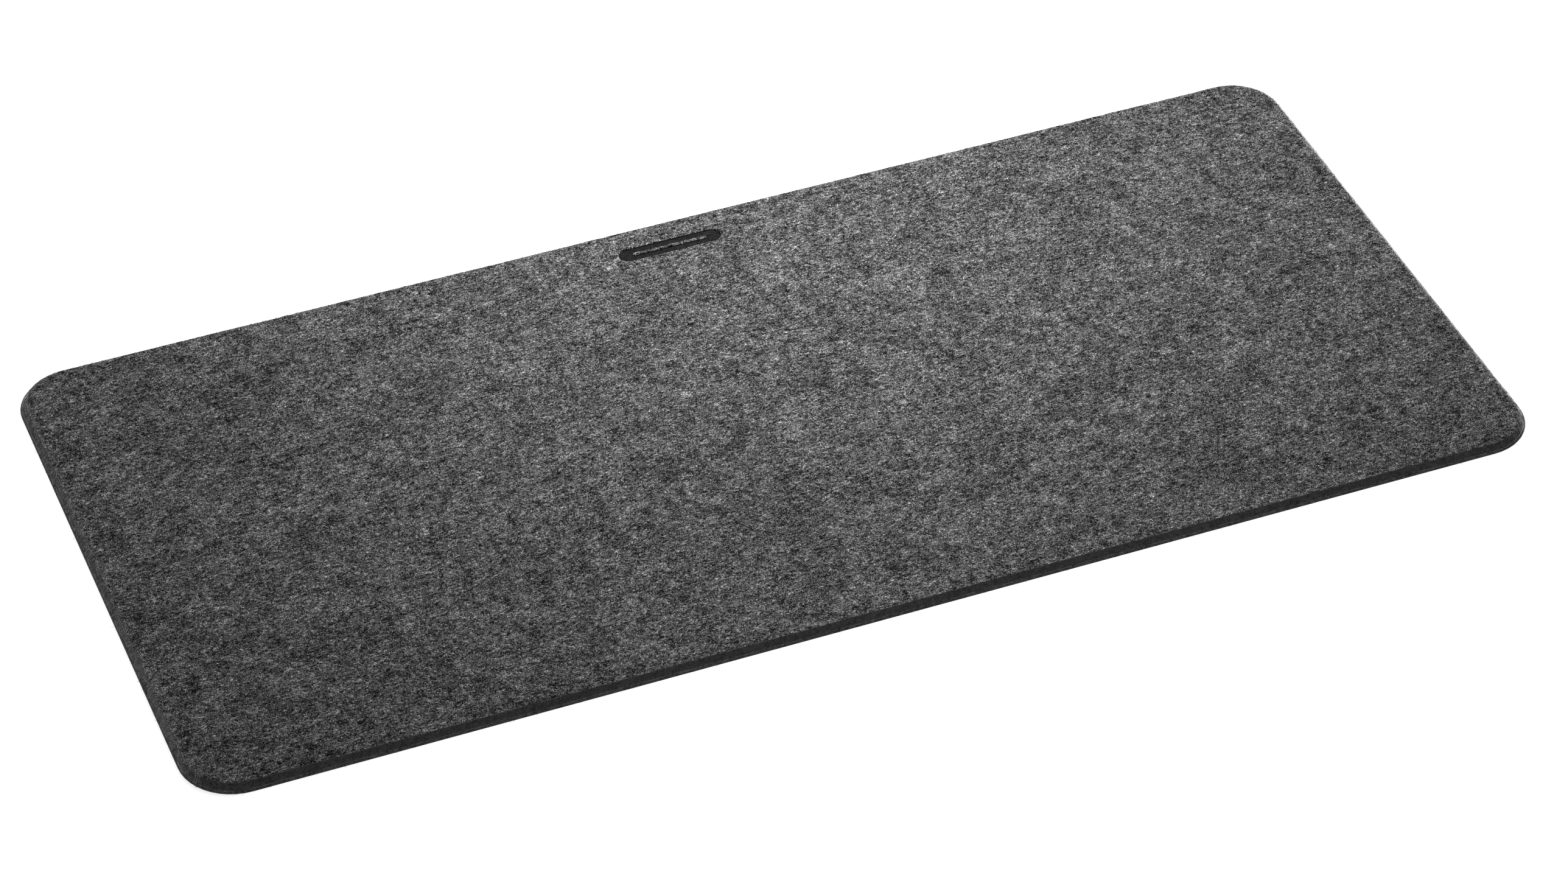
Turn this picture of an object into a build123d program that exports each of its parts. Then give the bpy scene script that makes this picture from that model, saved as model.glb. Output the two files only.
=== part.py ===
"""Felt desk mat: a needle-punched felt sheet bonded to a thin anti-slip backing.

All sizes are in millimetres. +X is to the user's right, +Y is towards the back of the desk
and +Z is up. The origin is the middle of the underside, which lies on the desk.
"""
import os
from math import radians, tan

from build123d import *

# Outline of the mat at the desk
LENGTH = 700.0
DEPTH = 330.0
CORNER_RADIUS = 28.0

# Layers, from the desk upwards
BACKING_THICKNESS = 0.8
FILM_THICKNESS = 0.1
FELT_THICKNESS = 3.1

# All the layers are cut together, and the cut edge leans in by this angle from upright
EDGE_ANGLE = 38.5

# Plain mark pressed into the felt near the back edge: an oblong field around a bar left standing
MARK_LENGTH = 56.0
MARK_WIDTH = 10.0
MARK_BAR_LENGTH = 41.0
MARK_BAR_WIDTH = 2.2
MARK_DEPTH = 0.8
MARK_TO_BACK_EDGE = 22.0


def layer(bottom, thickness):
    """One layer of the laminate, with its edge on the common slope of the cut."""
    inset = bottom * tan(radians(EDGE_ANGLE))
    outline = RectangleRounded(LENGTH - 2 * inset, DEPTH - 2 * inset, CORNER_RADIUS - inset)
    return Pos(0, 0, bottom) * extrude(outline, amount=thickness, taper=EDGE_ANGLE)


def mark_recess(top):
    """The space that the pressed mark leaves below a face at the height top."""
    field = SlotOverall(MARK_LENGTH, MARK_WIDTH) - SlotOverall(MARK_BAR_LENGTH, MARK_BAR_WIDTH)
    place = Pos(0, DEPTH / 2 - MARK_TO_BACK_EDGE, top - MARK_DEPTH)
    return place * extrude(field, amount=2 * MARK_DEPTH)


film_bottom = BACKING_THICKNESS
felt_bottom = film_bottom + FILM_THICKNESS
felt_top = felt_bottom + FELT_THICKNESS

nodes = {
    "anti_slip_backing": layer(0, BACKING_THICKNESS),
    "adhesive_film": layer(film_bottom, FILM_THICKNESS),
    "felt_sheet": layer(felt_bottom, FELT_THICKNESS) - mark_recess(felt_top),
}

os.makedirs("parts", exist_ok=True)
for name, shape in nodes.items():
    export_step(shape, f"parts/{name}.step")
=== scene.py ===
"""The looks of a felt desk mat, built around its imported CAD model.

Everything is in metres, in the CAD model's frame: +X is the user's right, +Y the back of the desk, +Z up.
"""

import math

import bpy
import numpy as np
from mathutils import Matrix, Vector


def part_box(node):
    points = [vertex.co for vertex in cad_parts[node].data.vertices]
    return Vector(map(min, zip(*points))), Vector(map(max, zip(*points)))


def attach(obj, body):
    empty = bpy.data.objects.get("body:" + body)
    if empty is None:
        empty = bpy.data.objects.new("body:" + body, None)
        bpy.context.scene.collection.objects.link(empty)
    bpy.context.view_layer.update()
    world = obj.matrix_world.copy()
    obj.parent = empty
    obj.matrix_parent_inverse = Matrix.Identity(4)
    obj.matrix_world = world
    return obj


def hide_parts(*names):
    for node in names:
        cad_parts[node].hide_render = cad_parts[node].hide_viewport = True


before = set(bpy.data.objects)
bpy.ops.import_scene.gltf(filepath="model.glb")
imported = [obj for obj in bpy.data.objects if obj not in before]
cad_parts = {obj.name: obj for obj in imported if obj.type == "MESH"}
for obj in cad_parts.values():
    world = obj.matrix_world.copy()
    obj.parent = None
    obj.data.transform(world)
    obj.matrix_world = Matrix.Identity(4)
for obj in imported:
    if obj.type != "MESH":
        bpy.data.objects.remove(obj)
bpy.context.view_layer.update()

MM = 0.001
FELT_LOW, FELT_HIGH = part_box("felt_sheet")

# The upper face's outline. The cut edge leans in from upright, so it is smaller than the outline at the desk.
EDGE_ANGLE = math.radians(38.5)
EDGE_SLOPE = math.tan(EDGE_ANGLE)
DESK_CORNER_RADIUS = 28 * MM
FELT_HEIGHT = FELT_HIGH.z - FELT_LOW.z
HALF_LENGTH = FELT_HIGH.x - FELT_HEIGHT * EDGE_SLOPE
HALF_DEPTH = FELT_HIGH.y - FELT_HEIGHT * EDGE_SLOPE
EDGE_INSET = FELT_HIGH.z * EDGE_SLOPE
CORNER_RADIUS = DESK_CORNER_RADIUS - EDGE_INSET

# The pressed mark: an oblong field around a bar left standing
MARK_CENTRE_Y = 143 * MM
MARK_LENGTH = 56 * MM
MARK_WIDTH = 10 * MM
MARK_BAR_LENGTH = 41 * MM
MARK_BAR_WIDTH = 2.2 * MM
MARK_DEPTH = 0.8 * MM
MARK_WALL = 0.45 * MM

# Loose fibres on the felt
FIBRE_WIDTH = 0.13 * MM
FIBRE_SINK = 0.03 * MM
FACE_FIBRE_OVERHANG = 0.2 * MM
STANDING_OUT = 0.15 * MM
STANDING_SHARE = 0.12
FRONT_FACING = -0.5

# The felt's mesh
COARSE_STEP = 2.1 * MM
FINE_STEP = 0.36 * MM
RIM_RADIUS = 0.28 * MM
CUT_ROWS = 6
RELIEF = 0.11 * MM
RAGGED_EDGE = 0.08 * MM
MARK_MARGIN = 1.5 * MM

# The felt's materials, in the order of its slots
FACE, CUT, MARK_WALLS, MARK_FLOOR = range(4)

# The melange's strands, with sizes in millimetres from one to the next
STRAND_LAYERS = 10
STRAND_LENGTH = 3.0
STRAND_WIDTH = 0.30
STRAND_TURN = math.pi * 0.382
CARDED = (0.95, 1.05, 1.0)
MELANGE_MIDDLE = 0.338
MELANGE_CONTRAST = 1.45
FINE_CLOUDS = 0.29
BROAD_CLOUDS = 0.11

# The camera's place relative to the middle of the mat's underside, in metres, and its lens in millimetres
CAMERA_AZIMUTH = math.radians(-21.253)
CAMERA_ELEVATION = math.radians(39.938)
CAMERA_ROLL = math.radians(-0.539)
CAMERA_DISTANCE = 2.6189
CAMERA_ASIDE = 0.00684
CAMERA_UP = -0.0113
CAMERA_LENS = 119.71
SENSOR_WIDTH = 36.0

# The studio
FLOOR_HALF = 6.0
DIM_FLOOR_REACH = 0.36
BRIGHT_FLOOR_REACH = 0.62
SURROUND = 0.04
WHITE = (1.0, 1.0, 1.0, 1.0)


def blank_node_tree(material):
    """The material's node tree, emptied."""
    material.use_nodes = True
    material.node_tree.nodes.clear()
    return material.node_tree


def node(tree, kind, inputs=None, **settings):
    """A new shader node. inputs gives sockets by name or number, each a value or the output that feeds it."""
    made = tree.nodes.new("ShaderNode" + kind)
    for name, value in settings.items():
        setattr(made, name, value)
    for key, value in (inputs or {}).items():
        if isinstance(value, bpy.types.NodeSocket):
            tree.links.new(value, made.inputs[key])
        else:
            made.inputs[key].default_value = value
    return made


def maths(tree, operation, *values):
    """The output of a Math node."""
    return node(tree, "Math", dict(enumerate(values)), operation=operation).outputs[0]


def blend_values(tree, share, low, high):
    """low where share is 0, high where it is 1."""
    mix = node(tree, "Mix", {0: share, 2: low, 3: high}, data_type="FLOAT", clamp_factor=True)
    return mix.outputs[0]


def remap(tree, value, from_low, from_high, to_low=0.0, to_high=1.0, smooth=True):
    """value moved from one range to another, and held inside it."""
    kind = "SMOOTHSTEP" if smooth else "LINEAR"
    inputs = {0: value, 1: from_low, 2: from_high, 3: to_low, 4: to_high}
    return node(tree, "MapRange", inputs, interpolation_type=kind, clamp=True).outputs[0]


def millimetres(tree):
    """The place on the object, in millimetres."""
    place = node(tree, "TexCoord").outputs["Object"]
    return node(tree, "VectorMath", {0: place, "Scale": 1000.0}, operation="SCALE").outputs[0]


def noise(tree, place, size, detail=0.0, roughness=0.5):
    """A noise texture whose lumps are about half of size apart."""
    inputs = {"Vector": place, "Scale": 1.0 / size, "Detail": detail, "Roughness": roughness}
    return node(tree, "TexNoise", inputs, noise_dimensions="3D")


def bent(tree, place, size, amount):
    """The place shifted about by up to roughly amount, so that straight marks turn into curls."""
    shift = noise(tree, place, size, detail=1.0).outputs["Color"]
    centred = node(tree, "VectorMath", {0: shift, 1: (0.5, 0.5, 0.5)}, operation="SUBTRACT").outputs[0]
    moved = node(tree, "VectorMath", {0: centred, "Scale": 4.0 * amount}, operation="SCALE").outputs[0]
    return node(tree, "VectorMath", {0: place, 1: moved}, operation="ADD").outputs[0]


def strand_layer(tree, place, angle, length, width, number):
    """Short strands scattered along one direction: (where they are, a random number for each).

    The number is the colour's blue part; with its red part the strands line up in even columns.
    """
    stretch = {
        "Vector": place,
        "Location": (17.3 * number, -9.1 * number, 0.0),
        "Rotation": (0.0, 0.0, angle),
        "Scale": (length, width, 1.0),
    }
    drawn = node(tree, "Mapping", stretch, vector_type="TEXTURE").outputs[0]
    cells = node(tree, "TexVoronoi", {"Vector": drawn, "Scale": 1.0}, voronoi_dimensions="2D")
    mask = remap(tree, cells.outputs["Distance"], 0.48, 0.22)
    chance = node(tree, "SeparateColor", {0: cells.outputs["Color"]}).outputs[2]
    return mask, chance


def strands(tree, place, clouds):
    """Light and dark strands added up: below 0 where most are dark, above it where most are light.

    They point every way, and slightly more along the mat, the way the felt was carded.
    """
    carded = node(tree, "VectorMath", {0: place, 1: CARDED}, operation="MULTIPLY").outputs[0]
    curled = [bent(tree, carded, 1.5, 0.38), bent(tree, carded, 1.0, 0.25)]
    middle = maths(tree, "ADD", clouds, -0.5)
    total = 0.0
    for number in range(STRAND_LAYERS):
        angle = STRAND_TURN * number
        length = STRAND_LENGTH * (1.0 + 0.35 * math.cos(2.4 * number))
        width = STRAND_WIDTH * (1.0 + 0.25 * math.cos(1.7 * number))
        mask, chance = strand_layer(tree, curled[number % 2], angle, length, width, number + 1)
        total = maths(tree, "MULTIPLY_ADD", maths(tree, "ADD", chance, middle), mask, total)
    return total


def felt_clouds(tree, place):
    """A slow variation in the share of light fibres, centred on 0."""
    fine = noise(tree, place, 7.0, detail=2.0, roughness=0.6).outputs[0]
    broad = noise(tree, place, 45.0, detail=2.0).outputs[0]
    fine_part = maths(tree, "MULTIPLY", maths(tree, "SUBTRACT", fine, 0.5), FINE_CLOUDS)
    broad_part = maths(tree, "MULTIPLY", maths(tree, "SUBTRACT", broad, 0.5), BROAD_CLOUDS)
    return maths(tree, "ADD", fine_part, broad_part)


def grey(tree, tone):
    """A neutral colour from one number."""
    return node(tree, "CombineColor", {0: tone, 1: tone, 2: tone}).outputs[0]


def melange_material():
    """The upper face: anthracite melange needle felt."""
    material = bpy.data.materials.new("melange_felt")
    tree = blank_node_tree(material)
    place = millimetres(tree)
    light = maths(tree, "MULTIPLY_ADD", strands(tree, place, felt_clouds(tree, place)), MELANGE_CONTRAST, 1.0)
    seen = maths(tree, "MULTIPLY", maths(tree, "MAXIMUM", light, 0.1), MELANGE_MIDDLE)
    tone = maths(tree, "POWER", seen, 2.2)
    pile = noise(tree, bent(tree, place, 2.0, 0.4), 1.4, detail=3.0, roughness=0.65).outputs[0]
    bump = node(tree, "Bump", {"Height": pile, "Strength": 1.0, "Distance": 0.8 * MM})
    shader = node(tree, "BsdfPrincipled", {
        "Base Color": grey(tree, tone),
        "Roughness": remap(tree, light, 0.4, 1.6, 0.95, 0.8),
        "Normal": bump.outputs[0],
        "Specular IOR Level": 0.08,
        "Sheen Weight": 0.03,
        "Sheen Roughness": 0.5,
    })
    node(tree, "OutputMaterial", {"Surface": shader.outputs[0]})
    return material


def cut_streaks(tree, place):
    """The cut ends of fibres that lie flat in the felt: short level streaks, from 0 to 1."""
    flat = node(tree, "VectorMath", {0: place, 1: (0.55, 0.55, 2.4)}, operation="MULTIPLY").outputs[0]
    streaks = noise(tree, bent(tree, flat, 1.2, 0.2), 1.0, detail=2.5, roughness=0.7).outputs[0]
    mottle = noise(tree, place, 2.6, detail=2.0, roughness=0.6).outputs[0]
    return maths(tree, "MULTIPLY_ADD", mottle, 0.4, maths(tree, "MULTIPLY", streaks, 0.6))


def cut_material():
    """The sloped edge: felt cut through, darker and closer than the face."""
    material = bpy.data.materials.new("cut_felt")
    tree = blank_node_tree(material)
    place = millimetres(tree)
    ends = cut_streaks(tree, place)
    tone = remap(tree, ends, 0.34, 0.66, 0.03, 0.095)
    bump = node(tree, "Bump", {"Height": ends, "Strength": 0.8, "Distance": 0.25 * MM})
    shader = node(tree, "BsdfPrincipled", {
        "Base Color": grey(tree, tone),
        "Roughness": remap(tree, ends, 0.3, 0.7, 0.7, 0.5),
        "Normal": bump.outputs[0],
        "Specular IOR Level": 0.5,
        "Sheen Weight": 1.0,
        "Sheen Roughness": 0.3,
    })
    node(tree, "OutputMaterial", {"Surface": shader.outputs[0]})
    return material


def fibre_material(name, darkest, lightest):
    """Loose polyester fibres, each of its own tone and slightly uneven along its length."""
    material = bpy.data.materials.new(name)
    tree = blank_node_tree(material)
    place = millimetres(tree)
    chance = node(tree, "NewGeometry").outputs["Random Per Island"]
    uneven = noise(tree, place, 1.5, detail=1.0).outputs[0]
    share = maths(tree, "MULTIPLY_ADD", uneven, 0.4, maths(tree, "MULTIPLY", chance, 0.8))
    shader = node(tree, "BsdfPrincipled", {
        "Base Color": grey(tree, remap(tree, share, 0.1, 1.1, darkest, lightest, smooth=False)),
        "Roughness": remap(tree, uneven, 0.3, 0.7, 0.6, 0.8),
        "Specular IOR Level": 0.3,
        "Sheen Weight": 0.15,
        "Sheen Roughness": 0.4,
    })
    node(tree, "OutputMaterial", {"Surface": shader.outputs[0]})
    return material


def fused_material(name, darkest, lightest):
    """Felt pressed and melted by the hot stamp into a dark, nearly closed skin."""
    material = bpy.data.materials.new(name)
    tree = blank_node_tree(material)
    place = millimetres(tree)
    grain = noise(tree, bent(tree, place, 1.5, 0.3), 0.9, detail=3.0, roughness=0.7).outputs[0]
    bump = node(tree, "Bump", {"Height": grain, "Strength": 0.8, "Distance": 0.2 * MM})
    shader = node(tree, "BsdfPrincipled", {
        "Base Color": grey(tree, remap(tree, grain, 0.35, 0.65, darkest, lightest)),
        "Roughness": remap(tree, grain, 0.3, 0.7, 0.7, 0.85),
        "Normal": bump.outputs[0],
        "Specular IOR Level": 0.08,
    })
    node(tree, "OutputMaterial", {"Surface": shader.outputs[0]})
    return material


def rubber_material():
    """Matt anti-slip rubber: a fine pebbled skin below, and a mottled cut edge that is lighter than the skin.
    """
    material = bpy.data.materials.new("anti_slip_rubber")
    tree = blank_node_tree(material)
    place = millimetres(tree)
    height = node(tree, "SeparateXYZ", {0: place}).outputs[2]
    side = remap(tree, height, 0.02, 0.08)
    ends = cut_streaks(tree, place)
    cells = node(tree, "TexVoronoi", {"Vector": place, "Scale": 1.1}, feature="SMOOTH_F1")
    pebbles = cells.outputs["Distance"]
    dust = noise(tree, place, 12.0, detail=4.0, roughness=0.65).outputs[0]
    below = maths(tree, "MULTIPLY_ADD", pebbles, -0.02, remap(tree, dust, 0.3, 0.7, 0.055, 0.085))
    edge = remap(tree, ends, 0.34, 0.66, 0.045, 0.17)
    relief = blend_values(tree, side, pebbles, ends)
    bump = node(tree, "Bump", {"Height": relief, "Strength": 0.6, "Distance": 0.15 * MM})
    shader = node(tree, "BsdfPrincipled", {
        "Base Color": grey(tree, blend_values(tree, side, below, edge)),
        "Roughness": remap(tree, dust, 0.3, 0.7, 0.65, 0.85),
        "Normal": bump.outputs[0],
        "Specular IOR Level": 0.3,
    })
    node(tree, "OutputMaterial", {"Surface": shader.outputs[0]})
    return material


def film_material():
    """Hot-melt film, squeezed into the felt, with fibre ends caught in its cut edge."""
    material = bpy.data.materials.new("bond_film")
    tree = blank_node_tree(material)
    place = millimetres(tree)
    ends = cut_streaks(tree, place)
    tone = remap(tree, ends, 0.34, 0.66, 0.03, 0.11)
    bump = node(tree, "Bump", {"Height": ends, "Strength": 0.5, "Distance": 0.15 * MM})
    shader = node(tree, "BsdfPrincipled", {
        "Base Color": grey(tree, tone),
        "Roughness": remap(tree, ends, 0.3, 0.7, 0.75, 0.55),
        "Normal": bump.outputs[0],
        "Specular IOR Level": 0.3,
    })
    node(tree, "OutputMaterial", {"Surface": shader.outputs[0]})
    return material


def random_waves(x, y, shortest, longest, seed, count=70):
    """A smooth random surface over points x, y, with a mean of 0 and a spread of about 1."""
    random = np.random.default_rng(seed)
    total = np.zeros_like(x)
    for _ in range(count):
        wavelength = random.uniform(shortest, longest)
        heading = random.uniform(0, 2 * math.pi)
        phase = random.uniform(0, 2 * math.pi)
        along = x * math.cos(heading) + y * math.sin(heading)
        total += np.cos(2 * math.pi * along / wavelength + phase)
    return total * math.sqrt(2.0 / count)


def oblong_distance(x, y, length, width):
    """How far points lie outside an oblong with half-round ends, centred on the origin."""
    straight = (length - width) / 2
    beyond = np.maximum(np.abs(x) - straight, 0.0)
    return np.hypot(beyond, y) - width / 2


def pressed_share(x, y):
    """1 on the floor of the pressed mark, 0 on the felt's face, and between them on its walls."""
    v = y - MARK_CENTRE_Y
    outer = oblong_distance(x, v, MARK_LENGTH, MARK_WIDTH)
    bar = oblong_distance(x, v, MARK_BAR_LENGTH, MARK_BAR_WIDTH)
    outside = np.maximum(outer, -bar)
    share = np.clip(0.5 - outside / MARK_WALL, 0.0, 1.0)
    return share * share * (3 - 2 * share)


def face_height(x, y):
    """The height of the felt's upper face: soft lumps, with the mark pressed into them."""
    lumps = random_waves(x, y, 5 * MM, 16 * MM, seed=1)
    swells = random_waves(x, y, 40 * MM, 120 * MM, seed=2)
    relief = RELIEF * (0.6 * lumps + 0.5 * swells)
    press = pressed_share(x, y)
    uneven = 0.04 * MM * random_waves(x, y, 2 * MM, 6 * MM, seed=4)
    return FELT_HIGH.z + relief * (1 - press) + (uneven - MARK_DEPTH) * press


def lines_between(start, end, step):
    """Evenly spaced places from start up to but not including end, about step apart."""
    return np.linspace(start, end, max(1, round((end - start) / step)), endpoint=False)


def grid_lines(half, fine_low, fine_high):
    """Places of a grid's lines from -half to half, closer together from fine_low to fine_high."""
    spans = [(-half, fine_low, COARSE_STEP), (fine_low, fine_high, FINE_STEP), (fine_high, half, COARSE_STEP)]
    return np.concatenate([lines_between(*span) for span in spans] + [[half]])


def rounded(x, y, half_x, half_y, radius):
    """Points of a full rectangle, moved so that its square corners become round ones."""
    out_x = (np.abs(x) - (half_x - radius)) / radius
    out_y = (np.abs(y) - (half_y - radius)) / radius
    corner = (out_x > 0) & (out_y > 0)
    a, b = np.where(corner, out_x, 0.0), np.where(corner, out_y, 0.0)
    round_x = half_x - radius + radius * a * np.sqrt(1 - b * b / 2)
    round_y = half_y - radius + radius * b * np.sqrt(1 - a * a / 2)
    return np.where(corner, np.sign(x) * round_x, x), np.where(corner, np.sign(y) * round_y, y)


def outward(x, y, half_x, half_y, radius):
    """The outward direction at points on the rounded outline."""
    past_x = np.sign(x) * np.maximum(np.abs(x) - (half_x - radius), 0.0)
    past_y = np.sign(y) * np.maximum(np.abs(y) - (half_y - radius), 0.0)
    straight_x = np.abs(np.abs(x) - half_x) < 1e-7
    straight_y = np.abs(np.abs(y) - half_y) < 1e-7
    past_y = np.where(straight_x & (np.abs(y) <= half_y - radius), 0.0, past_y)
    past_x = np.where(straight_y & (np.abs(x) <= half_x - radius), 0.0, past_x)
    long = np.hypot(past_x, past_y)
    return past_x / long, past_y / long


def edge_profile():
    """(outward, down) pairs from the upper face's rim, round its soft corner and down the cut edge."""
    whole_turn = math.pi / 2 - EDGE_ANGLE
    start = RIM_RADIUS * math.tan(whole_turn / 2)
    pairs = []
    for share in (1 / 3, 2 / 3, 1):
        angle = whole_turn * share
        pairs.append((RIM_RADIUS * math.sin(angle), RIM_RADIUS * (1 - math.cos(angle))))
    first = pairs[-1][1]
    for row in range(1, CUT_ROWS + 1):
        down = first + (FELT_HEIGHT - first) * row / CUT_ROWS
        pairs.append((start + down * EDGE_SLOPE, down))
    return start, pairs


def mesh_object(name, points, faces, material, smooth=True):
    """A new object in the scene from points and faces."""
    mesh = bpy.data.meshes.new(name)
    mesh.from_pydata(points, [], faces)
    mesh.polygons.foreach_set("use_smooth", [smooth] * len(mesh.polygons))
    mesh.materials.append(material)
    mesh.update()
    made = bpy.data.objects.new(name, mesh)
    bpy.context.scene.collection.objects.link(made)
    return made


def felt_piece():
    """The felt sheet: a soft upper face with the pressed mark, and the sloped cut edge around it."""
    start, profile = edge_profile()
    half_x, half_y, radius = HALF_LENGTH - start, HALF_DEPTH - start, CORNER_RADIUS - start
    reach_x = MARK_LENGTH / 2 + MARK_MARGIN
    reach_y = MARK_WIDTH / 2 + MARK_MARGIN
    xs = grid_lines(half_x, -reach_x, reach_x)
    ys = grid_lines(half_y, MARK_CENTRE_Y - reach_y, MARK_CENTRE_Y + reach_y)
    columns, rows = len(xs), len(ys)
    x, y = np.meshgrid(xs, ys)
    x, y = rounded(x.ravel(), y.ravel(), half_x, half_y, radius)
    points = [np.stack([x, y, face_height(x, y)], 1)]

    corner = np.arange(rows * columns).reshape(rows, columns)
    quads = np.stack([corner[:-1, :-1], corner[:-1, 1:], corner[1:, 1:], corner[1:, :-1]], -1).reshape(-1, 4)
    faces = quads.tolist()

    rim = np.concatenate([corner[0, :-1], corner[:-1, -1], corner[-1, :0:-1], corner[:0:-1, 0]])
    rim_x, rim_y, rim_z = points[0][rim].T
    out_x, out_y = outward(rim_x, rim_y, half_x, half_y, radius)
    around = len(rim)
    ragged = RAGGED_EDGE * random_waves(rim_x, rim_y, 6 * MM, 25 * MM, seed=3)
    above = rim
    total = rows * columns
    for out, down in profile:
        share = min(1.0, down / FELT_HEIGHT)
        reach = out + ragged * share
        height = rim_z + (FELT_HIGH.z - rim_z) * share - down
        points.append(np.stack([rim_x + out_x * reach, rim_y + out_y * reach, height], 1))
        below = total + np.arange(around)
        faces += np.stack([above, below, np.roll(below, -1), np.roll(above, -1)], 1).tolist()
        above = below
        total += around
    faces.append(above[::-1].tolist())

    points = np.concatenate(points)
    middles = points[quads].mean(1)
    kinds = np.full(len(faces), CUT)
    pressed = pressed_share(middles[:, 0], middles[:, 1])
    on_face = np.where(pressed > 0.35, MARK_WALLS, FACE)
    kinds[: len(quads)] = np.where(pressed > 0.97, MARK_FLOOR, on_face)
    felt = mesh_object("felt", points.tolist(), faces, melange_material())
    felt.data.materials.append(cut_material())
    # The mark's walls are darker than its floor: scorched felt, plus painted shade for the shadow that falls
    # on the walls of the recess.
    felt.data.materials.append(fused_material("scorched_felt_painted_shade", 0.003, 0.01))
    felt.data.materials.append(fused_material("fused_felt", 0.006, 0.034))
    felt.data.polygons.foreach_set("material_index", kinds)
    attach(felt, "root")
    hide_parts("felt_sheet")
    return felt


def rim_distance(x, y):
    """How far points lie outside the upper face's outline, as if the edge were sharp."""
    past_x = np.abs(x) - (HALF_LENGTH - CORNER_RADIUS)
    past_y = np.abs(y) - (HALF_DEPTH - CORNER_RADIUS)
    outside = np.hypot(np.maximum(past_x, 0.0), np.maximum(past_y, 0.0))
    return outside + np.minimum(np.maximum(past_x, past_y), 0.0) - CORNER_RADIUS


def felt_surface(x, y):
    """The height of the felt's face and cut edge, for fibres to lie on."""
    beyond = rim_distance(x, y)
    return FELT_HIGH.z - np.clip(beyond / EDGE_SLOPE, 0.0, FELT_HIGH.z)


def perimeter_places(count, random):
    """Random places on the upper face's outline: (x, y, outward x, outward y)."""
    straight_x = 2 * (HALF_LENGTH - CORNER_RADIUS)
    straight_y = 2 * (HALF_DEPTH - CORNER_RADIUS)
    arc = math.pi / 2 * CORNER_RADIUS
    along = random.uniform(0, straight_x + straight_y + 2 * arc, count)
    on_x = np.clip(along, 0, straight_x)
    turn = np.clip(along - straight_x, 0, arc) / CORNER_RADIUS
    on_y = np.clip(along - straight_x - arc, 0, straight_y)
    last = np.clip(along - straight_x - arc - straight_y, 0, arc) / CORNER_RADIUS
    angle = math.pi / 2 - turn - last
    x = on_x - straight_x / 2 + CORNER_RADIUS * np.cos(angle)
    y = straight_y / 2 - on_y + CORNER_RADIUS * np.sin(angle)
    side = np.where(random.random(count) < 0.5, 1.0, -1.0)
    return x * side, y * side, np.cos(angle) * side, np.sin(angle) * side


def curled_paths(x, y, heading, length, curl, lift, bends, random):
    """The paths of fibres that lie on the felt from x, y, each with this many bends."""
    count = len(x)
    share = np.linspace(0.0, 1.0, bends + 1)
    wander = np.cumsum(random.normal(0.0, 0.35, (count, bends + 1)), 1)
    turned = heading[:, None] + curl[:, None] * share + wander
    step = length[:, None] / bends
    path_x = x[:, None] + np.cumsum(np.cos(turned) * step, 1) - np.cos(turned[:, :1]) * step
    path_y = y[:, None] + np.cumsum(np.sin(turned) * step, 1) - np.sin(turned[:, :1]) * step
    arch = np.sin(math.pi * share ** random.uniform(0.6, 1.6, (count, 1)))
    path_z = felt_surface(path_x, path_y) + lift[:, None] * arch - FIBRE_SINK
    return np.stack([path_x, path_y, path_z], -1)


def fibre_mesh(paths, width):
    """Closed three-sided tubes along paths, each drawn out to a point at both ends: (points, faces)."""
    count, length = paths.shape[:2]
    forward = np.gradient(paths, axis=1)
    forward /= np.linalg.norm(forward, axis=2, keepdims=True) + 1e-12
    aside = np.stack([-forward[..., 1], forward[..., 0], np.zeros((count, length))], -1)
    aside /= np.linalg.norm(aside, axis=2, keepdims=True) + 1e-12
    upward = np.cross(forward, aside)
    middle = slice(1, length - 1)
    rings = []
    for corner in range(3):
        angle = 2 * math.pi * corner / 3 + math.pi / 6
        off = math.cos(angle) * aside[:, middle] + math.sin(angle) * upward[:, middle]
        rings.append(paths[:, middle] + 0.5 * width[:, None, None] * off)
    tube = np.stack(rings, 2).reshape(count, -1, 3)
    points = np.concatenate([paths[:, :1], tube, paths[:, -1:]], 1)
    faces = []
    for corner in range(3):
        other = (corner + 1) % 3
        faces.append([0, 1 + other, 1 + corner, 1 + corner])
        for ring in range(length - 3):
            low, high = 1 + 3 * ring, 4 + 3 * ring
            faces.append([low + corner, low + other, high + other, high + corner])
        last = 1 + 3 * (length - 3)
        faces.append([last + corner, last + other, last + 3, last + 3])
    pattern = np.array(faces)
    every = pattern[None] + (points.shape[1] * np.arange(count))[:, None, None]
    return points.reshape(-1, 3), every.reshape(-1, 4)


def fibre_piece(name, paths, width, material):
    """Loose fibres as one piece on the felt."""
    points, quads = fibre_mesh(paths, width)
    faces = [face[:3] if face[2] == face[3] else face for face in quads.tolist()]
    made = mesh_object(name, points.tolist(), faces, material)
    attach(made, "root")
    return made


def face_fibres(name, count, length, lift, bends, seed, material):
    """Curly fibres all over the upper face, clear of the pressed mark and of the cut edge."""
    random = np.random.default_rng(seed)
    x = random.uniform(-HALF_LENGTH, HALF_LENGTH, count)
    y = random.uniform(-HALF_DEPTH, HALF_DEPTH, count)
    heading = random.uniform(0, 2 * math.pi, count)
    long = length * np.exp(random.normal(0.0, 0.35, count))
    curl = random.normal(0.0, 1.6, count)
    paths = curled_paths(x, y, heading, long, curl, lift * random.random(count) ** 2, bends, random)
    on_mark = pressed_share(paths[..., 0], paths[..., 1]).max(1) > 0.05
    inside = rim_distance(paths[..., 0], paths[..., 1]).max(1) < FACE_FIBRE_OVERHANG
    keep = inside & ~on_mark
    width = random.uniform(FIBRE_WIDTH * 0.7, FIBRE_WIDTH * 1.3, count)
    return fibre_piece(name, paths[keep], width[keep], material)


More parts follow.
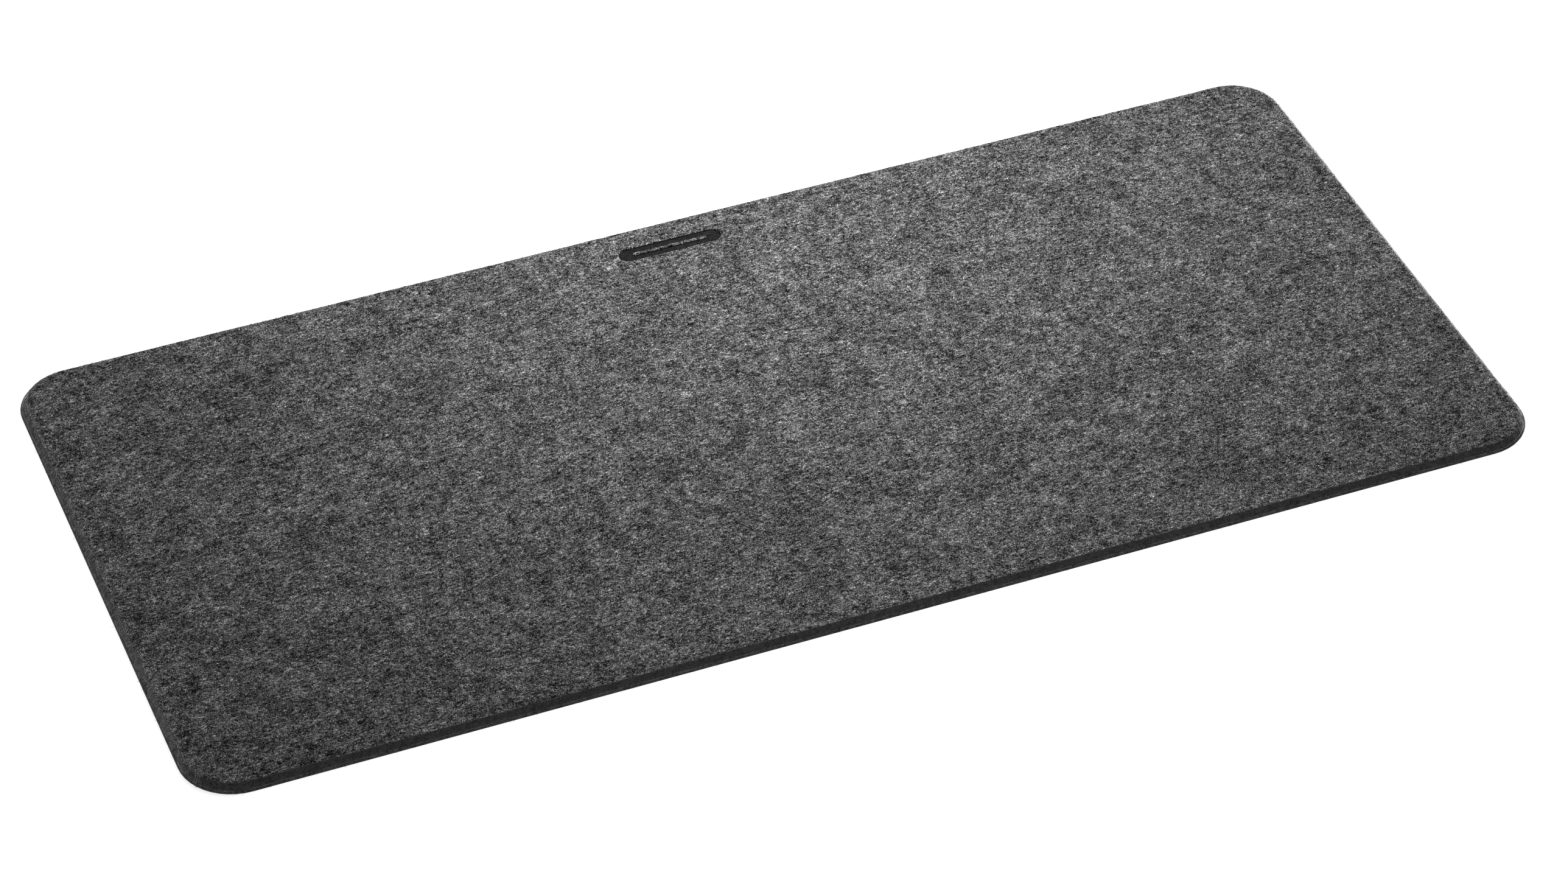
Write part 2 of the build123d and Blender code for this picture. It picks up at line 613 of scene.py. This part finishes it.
def edge_fibres(name, count, inner, outer, seed, material, at_front=True):
    """Shorter fibres from inner to outer past the rim, some with a loose end standing out.

    Without at_front there are none along the front.
    """
    random = np.random.default_rng(seed)
    x, y, out_x, out_y = perimeter_places(count, random)
    beyond = random.uniform(inner, outer, count)
    x, y = x + out_x * beyond, y + out_y * beyond
    sideways = np.arctan2(out_x, -out_y)
    heading = sideways + random.normal(0.0, 0.5, count) + math.pi * (random.random(count) < 0.5)
    long = random.uniform(1.2 * MM, 3.6 * MM, count)
    curl = random.normal(0.0, 1.2, count)
    bends = 5
    paths = curled_paths(x, y, heading, long, curl, np.full(count, 0.06 * MM), bends, random)
    share = np.linspace(0.0, 1.0, bends + 1)
    loose = np.minimum(random.exponential(0.15 * MM, count), 0.8 * MM)[:, None] * share ** 2
    paths[..., 0] += out_x[:, None] * loose
    paths[..., 1] += out_y[:, None] * loose
    paths[..., 2] = np.maximum(paths[..., 2] + 0.7 * loose, 0.1 * MM)
    width = random.uniform(FIBRE_WIDTH * 0.6, FIBRE_WIDTH * 1.1, count)
    standing_out = rim_distance(paths[..., 0], paths[..., 1]).max(1) > EDGE_INSET + STANDING_OUT
    keep = ~standing_out | (random.random(count) < STANDING_SHARE)
    keep &= at_front | (out_y > FRONT_FACING)
    return fibre_piece(name, paths[keep], width[keep], material)


def camera():
    """A long lens from the front left and above."""
    across, rise = math.cos(CAMERA_ELEVATION), math.sin(CAMERA_ELEVATION)
    back = Vector((math.sin(CAMERA_AZIMUTH) * across, -math.cos(CAMERA_AZIMUTH) * across, rise))
    level_right = Vector((math.cos(CAMERA_AZIMUTH), math.sin(CAMERA_AZIMUTH), 0.0))
    turn = Matrix.Rotation(CAMERA_ROLL, 3, back)
    right = turn @ level_right
    up = turn @ back.cross(level_right)
    data = bpy.data.cameras.new("camera")
    data.lens = CAMERA_LENS
    data.sensor_width = SENSOR_WIDTH
    data.clip_end = 50.0
    made = bpy.data.objects.new("camera", data)
    place = right * CAMERA_ASIDE + up * CAMERA_UP + back * CAMERA_DISTANCE
    axes = Matrix((right, up, back)).transposed().to_4x4()
    made.matrix_world = Matrix.Translation(place) @ axes
    bpy.context.scene.collection.objects.link(made)
    bpy.context.scene.camera = made


def softbox(name, place, aim, width, height, power):
    """A rectangular studio light at place, facing aim. It isn't seen in the picture itself."""
    data = bpy.data.lights.new(name, "AREA")
    data.shape = "RECTANGLE"
    data.size = width
    data.size_y = height
    data.energy = power
    made = bpy.data.objects.new(name, data)
    made.visible_camera = False
    made.location = place
    made.rotation_euler = (Vector(aim) - Vector(place)).to_track_quat("-Z", "Y").to_euler()
    bpy.context.scene.collection.objects.link(made)


def studio():
    """A white floor, a key light from above, a low strip light along each short side, and a dim surround."""
    material = bpy.data.materials.new("white_floor")
    tree = blank_node_tree(material)
    place = node(tree, "TexCoord").outputs["Object"]
    out = node(tree, "VectorMath", {0: place}, operation="LENGTH").outputs["Value"]
    shader = node(tree, "BsdfPrincipled", {
        "Base Color": (0.85, 0.85, 0.85, 1.0),
        "Roughness": 0.9,
        "Specular IOR Level": 0.0,
        "Emission Color": WHITE,
        "Emission Strength": remap(tree, out, DIM_FLOOR_REACH, BRIGHT_FLOOR_REACH, 0.75, 1.0),
    })
    node(tree, "OutputMaterial", {"Surface": shader.outputs[0]})
    material.cycles.emission_sampling = "NONE"
    side = FLOOR_HALF
    points = [(-side, -side, 0), (side, -side, 0), (side, side, 0), (-side, side, 0)]
    floor = mesh_object("floor", points, [(0, 1, 2, 3)], material, smooth=False)
    softbox("key", (0.105, 0.24, 0.485), (0.05, 0.05, 0.0), width=0.3, height=0.3, power=3.2)
    softbox("left_strip", (-0.57, 0.0, 0.03), (-0.35, 0.0, 0.0), width=0.4, height=0.03, power=0.08)
    softbox("right_strip", (0.5, 0.11, 0.007), (0.35, 0.07, 0.002), width=0.35, height=0.01, power=0.78)
    world = bpy.data.worlds.new("studio")
    bpy.context.scene.world = world
    world.cycles.sampling_method = "NONE"
    tree = blank_node_tree(world)
    dim = node(tree, "Background", {"Color": WHITE, "Strength": SURROUND})
    white = node(tree, "Background", {"Color": WHITE, "Strength": 1.0})
    seen = node(tree, "LightPath").outputs["Is Camera Ray"]
    both = node(tree, "MixShader", {0: seen, 1: dim.outputs[0], 2: white.outputs[0]})
    node(tree, "OutputWorld", {"Surface": both.outputs[0]})
    bpy.context.scene.view_settings.view_transform = "Standard"
    bpy.context.scene.cycles.use_denoising = False


camera()
studio()
felt = felt_piece()
loose = [
    face_fibres(
        "light_fibres", count=8000, length=4.5 * MM, lift=0.4 * MM, bends=5, seed=11,
        material=fibre_material("light_fibre", 0.2, 0.7),
    ),
    face_fibres(
        "long_fibres", count=4600, length=9.0 * MM, lift=0.7 * MM, bends=8, seed=14,
        material=fibre_material("long_fibre", 0.2, 0.65),
    ),
    face_fibres(
        "dark_fibres", count=8000, length=4.5 * MM, lift=0.3 * MM, bends=5, seed=12,
        material=fibre_material("dark_fibre", 0.01, 0.06),
    ),
    edge_fibres(
        "edge_fibres", count=7000, inner=-0.8 * MM, outer=2.8 * MM, seed=13,
        material=fibre_material("edge_fibre", 0.02, 0.16),
    ),
    # Fibre ends along the rim: real fuzz, made lighter than the felt's own fibres as a painted rim highlight,
    # and left off the front edge, which is in shade.
    edge_fibres(
        "rim_highlight_fibres", count=6500, inner=-0.7 * MM, outer=0.0, seed=15,
        material=fibre_material("rim_highlight_fibre", 0.3, 0.8), at_front=False,
    ),
]
for name, material in (("anti_slip_backing", rubber_material()), ("adhesive_film", film_material())):
    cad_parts[name].data.materials.clear()
    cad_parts[name].data.materials.append(material)
